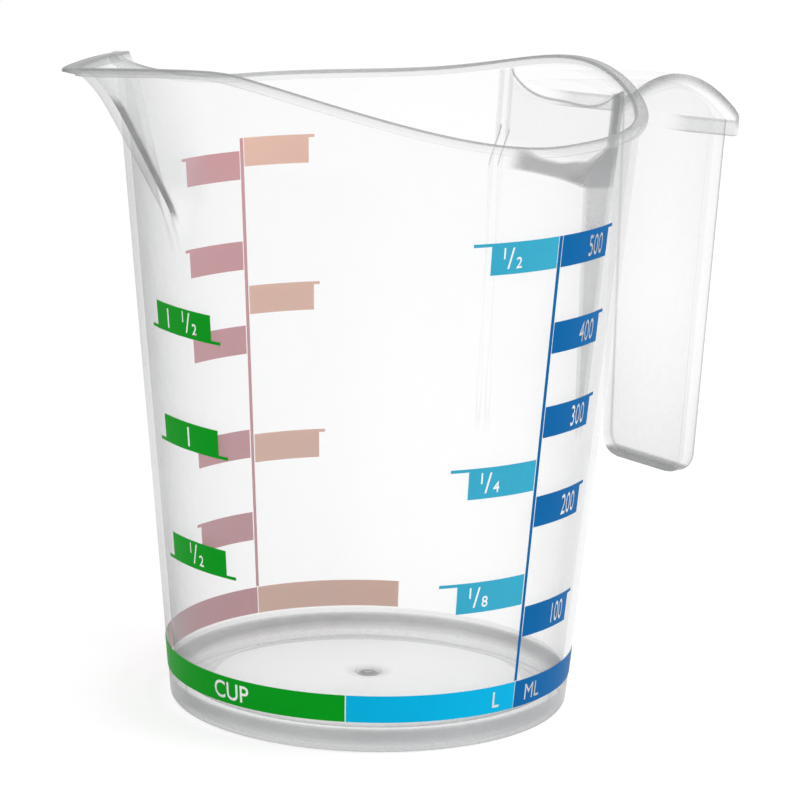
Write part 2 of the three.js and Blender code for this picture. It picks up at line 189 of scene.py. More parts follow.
def milky_plastic():
    """Clear polypropylene: nearly white face on; painted shade makes it greyer where solid, folded
    or seen edge on, and on bends and side walls.
    """
    material, nodes, links, surface = start_material("milky clear polypropylene")
    cloud = place_mottle(nodes, scale=22, fine_scale=700, fine_share=0.25)

    def calculate(operation, first, second):
        node = nodes.new("ShaderNodeMath")
        node.operation = operation
        for socket, value in zip(node.inputs, (first, second)):
            if isinstance(value, float):
                socket.default_value = value
            else:
                links.new(value, socket)
        return node.outputs["Value"]

    def stored(name):
        node = nodes.new("ShaderNodeAttribute")
        node.attribute_name = name
        return node.outputs["Fac"]

    def toward(colour, other, share):
        node = nodes.new("ShaderNodeMix")
        node.data_type = "RGBA"
        if isinstance(colour, tuple):
            node.inputs["A"].default_value = colour
        else:
            links.new(colour, node.inputs["A"])
        node.inputs["B"].default_value = other
        links.new(share, node.inputs["Factor"])
        return node.outputs["Result"]

    # Painted shade from the stored masks: grey at outlines as the surface turns away, on bends
    # turned away and on side walls seen flat.
    weight = nodes.new("ShaderNodeLayerWeight")
    weight.inputs["Blend"].default_value = 0.5
    facing = weight.outputs["Facing"]
    outline = calculate("MULTIPLY", calculate("POWER", facing, 3.0), stored("outline_shade"))
    aslant = map_value(nodes, links, facing, 0, 1, 0.3, 0.5)
    face_on = map_value(nodes, links, facing, 1, 0, 0.3, 0.42)
    turned = calculate("MULTIPLY", aslant, stored("crease_shade"))
    flat = calculate("MULTIPLY", face_on, stored("flank_shade"))
    dark = calculate("MAXIMUM", stored("fold"), calculate("MULTIPLY", turned, BEND_SHADE_DENSITY))
    grey = calculate("ADD", stored("thick_and_shade"), calculate("MULTIPLY", flat, FLANK_SHADE_DENSITY))

    # The painted shade greys the base colour: toward the outline tint at outlines, the solid tint
    # on solid parts and the fold tint at folds.
    edge_share = calculate("MULTIPLY", facing, stored("outline_shade"))
    solid_share = calculate("MINIMUM", calculate("MULTIPLY", grey, 2.2), 1.0)
    fold_share = calculate("MINIMUM", calculate("MULTIPLY", dark, 1.6), 1.0)
    colour = toward(CLEAR_TINT, OUTLINE_SHADE_TINT, edge_share)
    colour = toward(colour, SOLID_AND_SHADE_TINT, solid_share)
    colour = toward(colour, FOLD_SHADE_TINT, fold_share)
    links.new(colour, surface.inputs["Base Color"])

    # The same painted shade also makes the plastic denser.
    dense = calculate("ADD", calculate("MULTIPLY", outline, OUTLINE_SHADE_DENSITY), THIN_DENSITY)
    dense = calculate("ADD", dense, calculate("MULTIPLY", stored("outline_shade"), OUTLINE_SHADE_BASE_DENSITY))
    dense = calculate("ADD", dense, calculate("ADD", grey, dark))
    dense = calculate("MULTIPLY", dense, map_value(nodes, links, cloud.outputs["Mask"], 0.85, 1.15))
    links.new(calculate("MINIMUM", dense, MOST_DENSE), surface.inputs["Alpha"])
    roughness = map_value(nodes, links, cloud.outputs["Mask"], 0.14, 0.26)
    links.new(roughness, surface.inputs["Roughness"])
    surface.inputs["IOR"].default_value = 1.49
    surface.inputs["Specular IOR Level"].default_value = 0.2
    bump = nodes.new("ShaderNodeBump")
    bump.inputs["Strength"].default_value = 0.04
    bump.inputs["Distance"].default_value = 0.0002
    links.new(cloud.outputs["Height"], bump.inputs["Height"])
    links.new(bump.outputs["Normal"], surface.inputs["Normal"])
    return material


def print_ink(name, colour, deeper):
    """Screen-printed ink: satin, with a faint unevenness of the coat."""
    material, nodes, links, surface = start_material(name)
    coat = place_mottle(nodes, scale=60, fine_scale=2600, fine_share=0.45)
    shade = nodes.new("ShaderNodeMix")
    shade.data_type = "RGBA"
    shade.inputs["A"].default_value = (*colour, 1)
    shade.inputs["B"].default_value = (*deeper, 1)
    links.new(map_value(nodes, links, coat.outputs["Mask"], 0, 1), shade.inputs["Factor"])
    links.new(shade.outputs["Result"], surface.inputs["Base Color"])
    roughness = map_value(nodes, links, coat.outputs["Mask"], 0.38, 0.52)
    links.new(roughness, surface.inputs["Roughness"])
    surface.inputs["Specular IOR Level"].default_value = 0.04
    bump = nodes.new("ShaderNodeBump")
    bump.inputs["Strength"].default_value = 0.12
    bump.inputs["Distance"].default_value = 0.00005
    links.new(coat.outputs["Height"], bump.inputs["Height"])
    links.new(bump.outputs["Normal"], surface.inputs["Normal"])
    return material


plastic = milky_plastic()
inks = {
    "ink_dark_blue": print_ink("dark blue ink", (0.0, 0.125, 0.365), (0.0, 0.11, 0.325)),
    "ink_light_blue": print_ink("light blue ink", (0.045, 0.39, 0.565), (0.035, 0.355, 0.525)),
    "ink_sky_blue": print_ink("sky blue ink", (0.0, 0.43, 0.72), (0.0, 0.395, 0.68)),
    "ink_green": print_ink("green ink", (0.0, 0.315, 0.012), (0.0, 0.285, 0.009)),
    "ink_rose": print_ink("rose ink", (0.74, 0.272, 0.308), (0.69, 0.242, 0.278)),
    "ink_orange": print_ink("orange ink", (1.0, 0.57, 0.41), (0.97, 0.535, 0.385)),
}


def assign(piece, material):
    piece.data.materials.clear()
    piece.data.materials.append(material)


# ---- Printed pieces ----
def flat_film(rows):
    """A thin slab in the flat: rows are (bottom, top, left, right), stacked from the lowest up."""
    mesh = bmesh.new()
    cuts = sorted({round(s, 6) for _, _, left, right in rows for s in (left, right)})
    columns = []
    for start, end in zip(cuts, cuts[1:]):
        columns += steps(start, end, PRINT_STEP)[:-1]
    columns.append(cuts[-1])
    corner = {}

    def vertex(s, z):
        key = (round(s, 6), round(z, 6))
        if key not in corner:
            corner[key] = mesh.verts.new((s, z, 0))
        return corner[key]

    for bottom, top, left, right in rows:
        inside = [s for s in columns if left - 1e-6 <= s <= right + 1e-6]
        for a, b in zip(inside, inside[1:]):
            mesh.faces.new((vertex(a, bottom), vertex(b, bottom), vertex(b, top), vertex(a, top)))
    made = bmesh.ops.extrude_face_region(mesh, geom=mesh.faces[:])
    raised = [v for v in made["geom"] if isinstance(v, bmesh.types.BMVert)]
    bmesh.ops.translate(mesh, verts=raised, vec=(0, 0, PRINT_THICKNESS))
    bmesh.ops.recalc_face_normals(mesh, faces=mesh.faces[:])
    return mesh


def finished_mesh(holder):
    """A new mesh of what an object shows once its text or its modifiers are worked out."""
    bpy.context.view_layer.update()
    shown = holder.evaluated_get(bpy.context.evaluated_depsgraph_get())
    return bpy.data.meshes.new_from_object(shown)


def figure_mesh(words):
    """Condensed figures as one solid in the flat; a word is (text, height, left, foot, width)."""
    parts = bmesh.new()
    for text, height, left, foot, width in words:
        curve = bpy.data.curves.new("figures", "FONT")
        curve.body = text
        curve.size = height / FIGURE_SHARE
        curve.offset = 0.05
        curve.extrude = 0.5
        curve.resolution_u = 4
        holder = bpy.data.objects.new("figures", curve)
        bpy.context.scene.collection.objects.link(holder)
        mesh = finished_mesh(holder)
        mesh.transform(Matrix.Translation((left, foot, 0)) @ Matrix.Diagonal((width, 1, 1, 1)))
        parts.from_mesh(mesh)
        bpy.data.objects.remove(holder)
        bpy.data.curves.remove(curve)
        bpy.data.meshes.remove(mesh)
    return parts


def link_mesh(name, mesh):
    data = bpy.data.meshes.new(name)
    mesh.to_mesh(data)
    mesh.free()
    piece = bpy.data.objects.new(name, data)
    bpy.context.scene.collection.objects.link(piece)
    return piece


def knock_out(piece, words):
    """Cuts the figures through the film, so that the plastic shows in them."""
    cutter = link_mesh("cutter", figure_mesh(words))
    cut = piece.modifiers.new("figures", "BOOLEAN")
    cut.operation = "DIFFERENCE"
    cut.solver = "EXACT"
    cut.use_self = True
    cut.object = cutter
    uncut = piece.data
    piece.data = finished_mesh(piece)
    piece.modifiers.clear()
    bpy.data.meshes.remove(uncut)
    bpy.data.objects.remove(cutter)


def printed(node, slot, start_angle, reference, rows, words=()):
    """A print on the cone in place of the CAD node; the flat film's left 0 lies at start_angle.

    Lengths along the film are true at the height called reference.
    """
    piece = link_mesh("print_" + node, flat_film(rows))
    if words:
        knock_out(piece, words)
    for corner in piece.data.vertices:
        s, z, raised = corner.co
        corner.co = cone_point(start_angle + arc(s, reference), z, PRINT_LIFT + raised)
    piece.data.update()
    assign(piece, inks[slot])
    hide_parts(node)
    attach(piece, "root")
    return piece


def moved(words, right, up):
    """The same words, shifted in the flat."""
    return [
        (text, height, left + right, foot + up, width)
        for text, height, left, foot, width in words
    ]


def side_mark(node, slot, line, side, top, bar, tick, words=()):
    """A bar beside an upright line, with a tick on top; words start from the bar's left foot."""
    length, height = bar
    inner = LINE_WIDTH / 2 + PRINT_GAP
    left = inner if side > 0 else -inner - length
    block = (top - height, top - TICK_HEIGHT, left, left + length)
    edge = (
        top - TICK_HEIGHT,
        top,
        left - (tick if side < 0 else 0),
        left + length + (tick if side > 0 else 0),
    )
    return printed(node, slot, line, top, [block, edge], moved(words, left, top - height))


def cup_mark(node, foot, words):
    """A green bar under the spout, its tick along the foot; words start from the bar's middle."""
    length, height = CUP_BAR
    block = (foot + TICK_HEIGHT, foot + height, -length / 2, length / 2)
    edge = (foot, foot + TICK_HEIGHT, -length / 2 - CUP_TICK, length / 2 + CUP_TICK)
    return printed(node, "ink_green", 180, foot, [edge, block], moved(words, 0, foot))


def band(node, slot, start, end, words=(), from_right=False):
    """A scale's foot band; words start from its left foot or, with from_right, its right foot."""
    gap = arc(PRINT_GAP / 2, BAND_BOTTOM)
    width = math.radians(end - start - 2 * gap) * cone_radius(BAND_BOTTOM)
    placed = moved(words, width if from_right else 0, BAND_BOTTOM)
    strip = (BAND_BOTTOM, BAND_TOP, 0, width)
    return printed(node, slot, start + gap, BAND_BOTTOM, [strip], placed)


def upright(node, slot, line, top):
    half = LINE_WIDTH / 2
    return printed(node, slot, line, top, [(BAND_TOP + PRINT_GAP, top, -half, half)])


def fraction(top_figure, foot_figure, left, foot):
    """A diagonal fraction as three words."""
    three = [
        (top_figure, 2.1, 0, 1.9, 0.95),
        ("/", 3.9, 1.4, 0.1, 0.9),
        (foot_figure, 2.1, 3.2, 0, 0.95),
    ]
    return moved(three, left, foot)


# Each bar is given by its tick's height above the foot.
for label, top in ((100, 25.9), (200, 47.2), (300, 64.3), (400, 80.3), (500, ML_TOP)):
    node = f"ml_mark_{label}"
    figures = [(str(label), 4.0, 7.9, 0.95, 0.62)]
    side_mark(node, "ink_dark_blue", ML_LINE, 1, top, NEAR_BAR, ML_TICK, figures)
for label, lower, top in (("eighth", "8", 32.5), ("quarter", "4", 54.5), ("half", "2", ML_TOP)):
    node = f"litre_mark_{label}"
    figures = fraction("1", lower, 2.0, 1.0)
    side_mark(node, "ink_light_blue", ML_LINE, -1, top, NEAR_BAR, LITRE_TICK, figures)
cup_mark("cup_mark_half", 30.8, fraction("1", "2", -2.4, 0.9))
cup_mark("cup_mark_one", 53.7, [("1", 3.8, -1.2, 0.8, 0.95)])
one_and_a_half = [("1", 3.8, -5.4, 0.8, 0.95)] + fraction("1", "2", 0.0, 0.9)
cup_mark("cup_mark_one_and_a_half", 75.3, one_and_a_half)
for label, top in ((1, 26.5), (2, 43.0), (3, 63.7), (4, 80.3), (5, 98.0)):
    side_mark(f"rose_mark_{label}", "ink_rose", ROSE_LINE, 1, top, FAR_BAR, FAR_TICK)
for label, top in ((1, 41.9), (2, 71.4), (3, ROSE_LINE_TOP)):
    side_mark(f"orange_mark_{label}", "ink_orange", ROSE_LINE, -1, top, FAR_BAR, FAR_TICK)

cup_end = 180 - CUP_HALF_ANGLE
band("ml_band", "ink_dark_blue", ML_LINE, -BARE_HALF_ANGLE, [("ML", 3.2, 2.6, 1.0, 0.85)])
litre = [("L", 3.2, -5.4, 1.0, 0.85)]
band("litre_band", "ink_sky_blue", -cup_end, ML_LINE, litre, from_right=True)
band("cup_band", "ink_green", cup_end, 360 - cup_end, [("CUP", 3.4, 33.2, 0.9, 0.95)])
band("rose_band", "ink_rose", ROSE_LINE, cup_end)
band("orange_band", "ink_orange", BARE_HALF_ANGLE, ROSE_LINE)
upright("ml_line", "ink_dark_blue", ML_LINE, ML_TOP)
upright("rose_line", "ink_rose", ROSE_LINE, ROSE_LINE_TOP)

# ---- The moulded jug: heights and radii in millimetres from its own axis, angles in degrees ----
WALL = 1.3
FLOOR_TOP = 4.2
FLOOR_THICKNESS = 1.6
FLOOR_FILLET = 2.0
FOOT_ROUND = 1.1
FOOT_RING_WIDTH = 1.9
FOOT_SLOPE_WIDTH = 5.0
GATE_RADIUS = 2.6
GATE_DEPTH = 0.4
GATE_PIP_RADIUS = 1.3
RIM_HEIGHT = 113.0
HANDLE_RISE = 6.3
HANDLE_RISE_SPREAD = 30
SPOUT_RISE = 13.3
SPOUT_RISE_FROM = 85
SPOUT_RISE_TO = 175
BEAD_HEIGHT = 1.7
BEAD_OUT = 1.2
BEAD_ROUND = 0.6
BORE_ROUND = 0.4
SPOUT_LENGTH = 32
SPOUT_SLOPE = 0.52
SPOUT_LIP = 3.6
SPOUT_LIP_POWER = 12
SPOUT_FOLD_ANGLE = 32
SPOUT_NOSE_ANGLE = 1.4
SPOUT_BLEND = 3.0
RECESS_HALF_ANGLE = 19.5
RECESS_SIDE_ANGLE = 2.5
RECESS_DEPTH = 5.0
RECESS_FLARE_DROP = 23.2
RECESS_FLARE_RUN = 8.5
DISH_HEIGHT = 6.2
DISH_MARGIN = 0.5
DISH_EDGE_DEPTH = 3.1
DISH_END_DEPTH = 1.2
ROOF_REACH = 77.0
ROOF_HALF_WIDTH = 17.1
ROOF_THICKNESS = 1.8
ROOF_LIP = 1.2
ROOF_LIP_WIDTH = 1.4
ROOF_CORNER = 3.0
ROOF_CROWN_DROP = 3.3
ROOF_FALL = 2.4
ROOF_ARCH = 7.2
ROOF_ROOT_DROP = 1.2
ROOF_BLEND = 7.0
STRAP_SETBACK = 3.2
STRAP_LEAN = 2.7
STRAP_FOOT_HEIGHT = 35.7
STRAP_HALF_WIDTH_TOP = 15.0
STRAP_HALF_WIDTH_FOOT = 12.2
STRAP_THICKNESS = 1.7
STRAP_CORNER = 5.0
STRAP_BEAD = 0.9
STRAP_BEAD_WIDTH = 1.5
MOULD_EDGE = 0.35  # soft edge on the handle's corners
SHARPEST_EDGE = math.radians(50)  # edges that turn further than this are softened


def lerp(start, end, share):
    return start + (end - start) * share


def spread(start, end, count):
    """The next count heights after start, evenly spaced up to end."""
    return [lerp(start, end, i / count) for i in range(1, count + 1)]


def ease(value, start, end):
    share = min(1, max(0, (value - start) / (end - start)))
    return share * share * (3 - 2 * share)


def rim_height(angle):
    swell = math.exp(-((angle / HANDLE_RISE_SPREAD) ** 2))
    climb = ease(abs(angle), SPOUT_RISE_FROM, SPOUT_RISE_TO)
    return RIM_HEIGHT + HANDLE_RISE * swell + SPOUT_RISE * climb


CREST = rim_height(0)
SPOUT_FOOT = rim_height(180) - SPOUT_LENGTH
FLARE_HEIGHT = CREST - RECESS_FLARE_DROP
FLARE_TOP = FLARE_HEIGHT + RECESS_FLARE_RUN
RECESS_FOOT = FLARE_HEIGHT - RECESS_DEPTH / WALL_SLOPE
PANEL_RADIUS = cone_radius(FLARE_HEIGHT) - RECESS_DEPTH
SIDE_FROM = RECESS_HALF_ANGLE - RECESS_SIDE_ANGLE / 2
SIDE_TO = RECESS_HALF_ANGLE + RECESS_SIDE_ANGLE / 2


def bead_foot(angle):
    return rim_height(angle) - BEAD_HEIGHT


def dish_edge(angle):
    hollow = max(0, 1 - abs(angle / RECESS_HALF_ANGLE) ** 3)
    return bead_foot(angle) - DISH_MARGIN - DISH_HEIGHT * hollow


def recess_radius(angle, z):
    edge, foot = dish_edge(angle), bead_foot(angle)
    lip_depth = lerp(DISH_EDGE_DEPTH, DISH_END_DEPTH, min(1, (angle / RECESS_HALF_ANGLE) ** 2))
    if z <= edge:
        return lerp(PANEL_RADIUS, cone_radius(z) - lip_depth, ease(z, FLARE_HEIGHT, FLARE_TOP))
    return lerp(cone_radius(edge) - lip_depth, cone_radius(foot), (z - edge) / (foot - edge))


def spout_radius(angle, z, skin):
    fold, nose = math.radians(SPOUT_FOLD_ANGLE), math.radians(SPOUT_NOSE_ANGLE)
    aside = math.hypot(math.radians(180 - abs(angle)), nose)
    height = z - SPOUT_FOOT
    curl = SPOUT_LIP * max(0, height / SPOUT_LENGTH) ** SPOUT_LIP_POWER
    thinning = lerp(0.64, 0.92, min(1, max(0, height / SPOUT_LENGTH)))
    deep = skin / math.sin(fold) * thinning
    keel = cone_radius(z) + SPOUT_SLOPE * height + curl - deep
    return keel * math.sin(fold + nose) / math.sin(fold + aside)


def side_share(angle, skin):
    """1 inside the recess, 0 outside it, and between them on its two side walls."""
    shift = math.degrees(skin / PANEL_RADIUS)
    return 1 - ease(abs(angle), SIDE_FROM + shift, SIDE_TO + shift)


def wall_radius(angle, z, skin=0.0):
    cone = cone_radius(z) - skin
    if abs(angle) > 90:
        spout = spout_radius(angle, z, skin)
        return max(cone, spout) + max(0, SPOUT_BLEND - abs(cone - spout)) ** 2 / (4 * SPOUT_BLEND)
    return cone - side_share(angle, skin) * max(0, cone_radius(z) - recess_radius(angle, z))


# What the eye meets in the plastic, in the order of DEPTHS: solid plastic with painted shade, a
# fold painted always dark, painted shade on a bend that darkens as it turns away, painted shade on
# a side wall where it is seen flat, and the painted darkening at outlines.
DEPTHS = ("thick_and_shade", "fold", "crease_shade", "flank_shade", "outline_shade")

# How strongly each feature's painted shade shows: solid and fold values darken the plastic, clear
# values take away from the painted darkening at outlines.
# Painted shade on solid parts and in corners, on top of the plastic's own milkiness where it is
# solid.
FOOT_SOLID_AND_SHADE = 0.36
FLOOR_EDGE_SHADE = 0.76
# The rim bead is solid plastic with painted shade, more at the spout and most round the bore.
RIM_SOLID_AND_SHADE = 0.19
SPOUT_RIM_SOLID_AND_SHADE = 0.55
BORE_SHADE = 0.42  # more than the rim's own
MOST_RIM_SOLID_AND_SHADE = 0.75
FILLET_SHADE = 0.14
# Painted shade: a dark stripe in the spout's keel fold, and shade on the ridge outside the keel.
KEEL_FOLD_SHADE = 0.88
LIP_FOLD_SHADE = 0.14
KEEL_WIDTH = (44, 78)  # degrees times millimetres from the keel, where the fold fades
RIB_SHADE = 0.25  # ridge along the outside of the keel
# Less painted outline shade on the upper wall by the spout, at the handle's sides, over the recess,
# its sides and the dish.
LEAF_CLEAR = 0.5  # upper wall on both sides of the spout
HANDLE_SIDE_CLEAR = 0.62
RECESS_CLEAR = 0.35
RECESS_SIDE_CLEAR = 0.85
DISH_CLEAR = 0.96
# Painted shade in the recess: a crescent at the flare's foot, its side walls and panel, and a line
# along the dish's upper edge.
CRESCENT_SHADE = 0.15
CRESCENT_FOLD_SHADE = 0.34
RECESS_SIDE_SHADE = 0.22
PANEL_SHADE = 0.055
RECESS_EDGE_SHADE_LINE = 0.6
EDGE_BLUR = 0.4  # width of the line along the recess's upper edge, each way


def depth(thick_and_shade=0.0, fold=0.0, crease_shade=0.0, flank_shade=0.0, outline_shade=1.0):
    return thick_and_shade, fold, crease_shade, flank_shade, outline_shade


def crescent_top(angle):
    """Upper edge of the painted shade on the fold along the foot of the flare: a crescent that is
    taller at its ends.
    """
    middle = FLARE_HEIGHT + 3.5 + 1.2 * ease(abs(angle), 3, 13)
    return lerp(middle, FLARE_TOP, ease(abs(angle), 13.5, SIDE_TO))


def base_depth(z):
    """Solid foot and floor with painted shade, darkest where the floor meets the wall."""
    return lerp(FOOT_SOLID_AND_SHADE, FLOOR_EDGE_SHADE, ease(z, 1.0, 3.2)) * (1 - ease(z, FLOOR_TOP, 5.3))


def spout_depth(angle, z, skin):
    """Painted shade on the spout: a dark stripe in the fold inside its keel, fainter next to the
    lip, and shade on the ridge outside it.
    """
    leaf = LEAF_CLEAR * ease(z, 107, 112) * ease(abs(angle), 120, 140)
    if not skin:
        rib = RIB_SHADE * ease(abs(angle), 166, 176) * ease(z, 98, 106)
        return depth(base_depth(z) + rib, outline_shade=1 - leaf)
    keel = 1 - ease((180 - abs(angle)) * cone_radius(z), *KEEL_WIDTH)
    stripe = lerp(LIP_FOLD_SHADE, KEEL_FOLD_SHADE, 1 - ease(z, CREST - 0.5, CREST + 1.5))
    stripe *= ease(z, SPOUT_FOOT + 1.5, SPOUT_FOOT + 5.5)
    return depth(base_depth(z), keel * stripe, outline_shade=1 - leaf)


def wall_depth(angle, z, skin):
    """Solid values and painted shade of the plain cone, of the spout, or of the recess with its
    sides, panel and dish.
    """
    if abs(angle) > 90:
        return spout_depth(angle, z, skin)
    share = side_share(angle, skin)
    hollow = cone_radius(z) - recess_radius(angle, z)
    handle_side = HANDLE_SIDE_CLEAR * (1 - ease(abs(angle), 45, 65))
    if hollow <= 0:
        return depth(base_depth(z), outline_shade=1 - handle_side)

    edge, top = dish_edge(angle), crescent_top(angle)
    side = min(1, 6 * share * (1 - share))
    dish = ease(z, edge, edge + EDGE_BLUR) * share
    above = ease(z, FLARE_HEIGHT + 3.5, FLARE_HEIGHT + 6)
    crescent = ease(z, FLARE_HEIGHT + 0.6, FLARE_HEIGHT + 1.0) * (1 - ease(z, top - 0.3, top + 0.3))
    bent = crescent * share * (1 - ease(abs(angle), 9, 15.5))
    inward = math.degrees(skin / PANEL_RADIUS)
    corner = crescent * share * ease(abs(angle) - inward, SIDE_FROM - 0.25, SIDE_FROM)

    # Painted shade: the crescent, the side walls and panel, and the line along the dish's edge; a
    # little less in the dish.
    thick_and_shade = base_depth(z) + CRESCENT_SHADE * bent + 0.04 * crescent * side
    thick_and_shade += above * (RECESS_SIDE_SHADE * side + PANEL_SHADE * share) * (1 - dish)
    if not skin:
        thick_and_shade += RECESS_EDGE_SHADE_LINE * share * max(0, 1 - abs(z - edge) / EDGE_BLUR)
    thick_and_shade -= 0.02 * dish
    # Painted shade on the bend as it turns away, and on the side walls where they are seen flat.
    crease_shade = crescent * ease(share, 0.9, 1.0)
    flank_shade = max(corner, min(1, 14 * share * (1 - share)))
    flank_shade *= min(1, hollow / 1.2) * (1 + 0.75 * crescent) * (1 - dish)
    clear = lerp(handle_side, RECESS_CLEAR, share * above)
    clear = max(clear, RECESS_SIDE_CLEAR * side, DISH_CLEAR * dish)
    return depth(thick_and_shade, CRESCENT_FOLD_SHADE * bent, crease_shade, flank_shade, 1 - clear)


def column_angles():
    """Angles of the vessel's columns, close together at the recess's sides and at the spout."""
    sides_end = SIDE_TO + math.degrees(WALL / PANEL_RADIUS)
    half = steps(0, SIDE_FROM - 0.3, 1.6) + [SIDE_FROM]
    for start, end, step in (
        (SIDE_FROM, sides_end, 0.25),
        (sides_end, 145, 2.5),
        (145, 170, 1.0),
        (170, 180, 0.5),
    ):
        half += steps(start, end, step)[1:]
    return half + [-angle for angle in reversed(half[1:-1])]


def quarter_turn(step):
    """Turn, sine and cosine at even stations over a quarter round."""
    return [
        (turn, math.sin(math.radians(turn)), math.cos(math.radians(turn)))
        for turn in steps(0, 90, step)
    ]


def foot_rows():
    """From the middle of the underside out to the foot ring and round its corner."""
    outer_foot = cone_radius(0) - FOOT_ROUND
    inner_foot = outer_foot - FOOT_RING_WIDTH
    underside = FLOOR_TOP - FLOOR_THICKNESS
    corner = cone_radius(FOOT_ROUND) - outer_foot
    # Painted shade on the slope up to the foot ring, on the ring and round its corner; less painted
    # outline shade under the floor's middle.
    rows = [
        (radius, underside, depth(outline_shade=0.4))
        for radius in (6, 14, 22, inner_foot - FOOT_SLOPE_WIDTH - 0.4)
    ]
    for share in (0.0, 0.1, 0.3, 0.5, 0.7, 0.9):
        radius = inner_foot - FOOT_SLOPE_WIDTH * (1 - share)
        rows.append((radius, underside * (1 - share), depth(0.12, outline_shade=0.6)))
    rows += [(inner_foot + 0.3, 0, depth(0.25)), (outer_foot, 0, depth(0.28))]
    for _, sine, cosine in quarter_turn(15)[1:]:
        rows.append((outer_foot + corner * sine, FOOT_ROUND * (1 - cosine), depth(0.3)))
    return rows


def wall_heights(angle):
    """Heights of a column's points, close together at the foot, the crescent and the dish."""
    edge, crescent = dish_edge(angle), crescent_top(angle)
    heights = [2, 2.6, 3.2, 3.8, 4.2, 4.6, 5, 6.3, 7, 9] + steps(12, RECESS_FOOT, 5)
    for start, end, count in (
        (RECESS_FOOT, 88, 12),
        (88, FLARE_HEIGHT + 0.6, 10),
        (FLARE_HEIGHT + 0.6, FLARE_HEIGHT + 1.0, 2),
        (FLARE_HEIGHT + 1.0, crescent - 0.3, 5),
        (crescent - 0.3, crescent + 0.3, 2),
        (crescent + 0.3, edge - EDGE_BLUR, 14),
    ):
        heights += spread(start, end, count)
    return heights + [edge, edge + EDGE_BLUR] + spread(edge + EDGE_BLUR, bead_foot(angle), 5)


def rim_rows(angle):
    """Out under the bead, up and over it, and down into the bore."""
    foot, top = bead_foot(angle), rim_height(angle)
    # The bead is solid plastic with painted shade, more towards the spout and most round the bore.
    lip = lerp(RIM_SOLID_AND_SHADE, SPOUT_RIM_SOLID_AND_SHADE, ease(abs(angle), 150, 179))
    low, high = [
        lerp(wall_radius(angle, foot), wall_radius(angle, top), (z - foot) / BEAD_HEIGHT) + BEAD_OUT
        for z in (foot, top)
    ]
    bore = wall_radius(angle, top, WALL)
    rows = [
        (low - BEAD_OUT * 0.35, foot + 0.04, depth(lip, outline_shade=0.2)),
        (low - 0.1, foot + 0.12, depth(lip, outline_shade=0.3)),
        (low, foot + 0.35, depth(lip * 0.8, outline_shade=0.6)),
    ]
    for turn, sine, cosine in quarter_turn(18):
        radius = high - BEAD_ROUND + BEAD_ROUND * cosine
        rows.append((radius, top - BEAD_ROUND * (1 - sine), depth(lip + 0.06 * turn / 90)))
    rows.append((bore + 0.6, top, depth(lip + 0.08)))
    for _, sine, cosine in quarter_turn(30):
        radius = bore + BORE_ROUND - BORE_ROUND * sine
        solid_and_shade = min(MOST_RIM_SOLID_AND_SHADE, lip + BORE_SHADE)
        rows.append((radius, top - BORE_ROUND * (1 - cosine), depth(solid_and_shade)))
    rows.append((bore, top - 0.6, depth(lip * 0.5)))
    return rows


def floor_rows():
    """Round the fillet and in over the floor to the gate mark."""
    floor_side = FLOOR_TOP + FLOOR_FILLET
    rows = []
    # Painted shade in the fillet, fading out over the floor, and darker in the gate mark's dip and
    # pip.
    for _, sine, cosine in quarter_turn(15):
        radius = cone_radius(floor_side) - WALL - FLOOR_FILLET * (1 - cosine)
        rows.append((radius, floor_side - FLOOR_FILLET * sine, depth(FILLET_SHADE)))
    for radius, solid_and_shade in ((33, 0.1), (29.5, 0.04), (25, 0.01), (18, 0), (10, 0), (5, 0)):
        rows.append((radius, FLOOR_TOP, depth(solid_and_shade, outline_shade=0.4)))
    return rows + [
        (GATE_RADIUS + 0.3, FLOOR_TOP, depth(0.12)),
        (GATE_RADIUS, FLOOR_TOP - 0.05, depth(0.35)),
        (GATE_RADIUS - GATE_DEPTH, FLOOR_TOP - GATE_DEPTH, depth(0.35, 0.1)),
        (GATE_PIP_RADIUS, FLOOR_TOP - GATE_DEPTH, depth(0.4, 0.35)),
        (GATE_PIP_RADIUS - GATE_DEPTH / 2, FLOOR_TOP - 0.03, depth(0.4, 0.5)),
        (GATE_PIP_RADIUS - GATE_DEPTH, FLOOR_TOP, depth(0.3, 0.3)),
    ]


def vessel_profile(angle):
    """One column, from the middle of the underside over the rim to the middle of the floor.

    Each row is (radius, height, depths).
    """
    def skin_rows(heights, skin):
        return [(wall_radius(angle, z, skin), z, wall_depth(angle, z, skin)) for z in heights]

    heights = wall_heights(angle)
    outside = skin_rows(heights, 0)
    inside = skin_rows([z for z in reversed(heights) if z > FLOOR_TOP + FLOOR_FILLET], WALL)
    return foot_rows() + outside + rim_rows(angle) + inside + floor_rows()


def depth_layers(mesh):
    return [mesh.verts.layers.float.new(name) for name in DEPTHS]


def add_point(mesh, layers, x, y, z, depths):
    point = mesh.verts.new((x, y, z))
    for layer, value in zip(layers, depths):
        point[layer] = value
    return point


def vessel_mesh():
    mesh = bmesh.new()
    layers = depth_layers(mesh)
    columns = []
    for angle in column_angles():
        turn = math.radians(angle)
        columns.append([
            add_point(mesh, layers, radius * math.cos(turn), radius * math.sin(turn), z, depths)
            for radius, z, depths in vessel_profile(angle)
        ])
    # The underside's middle has less painted outline shade; the floor's middle carries the gate
    # pip's painted shade.
    under = add_point(mesh, layers, 0, 0, FLOOR_TOP - FLOOR_THICKNESS, depth(outline_shade=0.4))
    over = add_point(mesh, layers, 0, 0, FLOOR_TOP, depth(0.3, 0.3))
    for left, right in zip(columns, columns[1:] + columns[:1]):
        for a, b, c, d in zip(left, right, right[1:], left[1:]):
            mesh.faces.new((a, b, c, d))
        mesh.faces.new((under, right[0], left[0]))
        mesh.faces.new((over, left[-1], right[-1]))
    return mesh


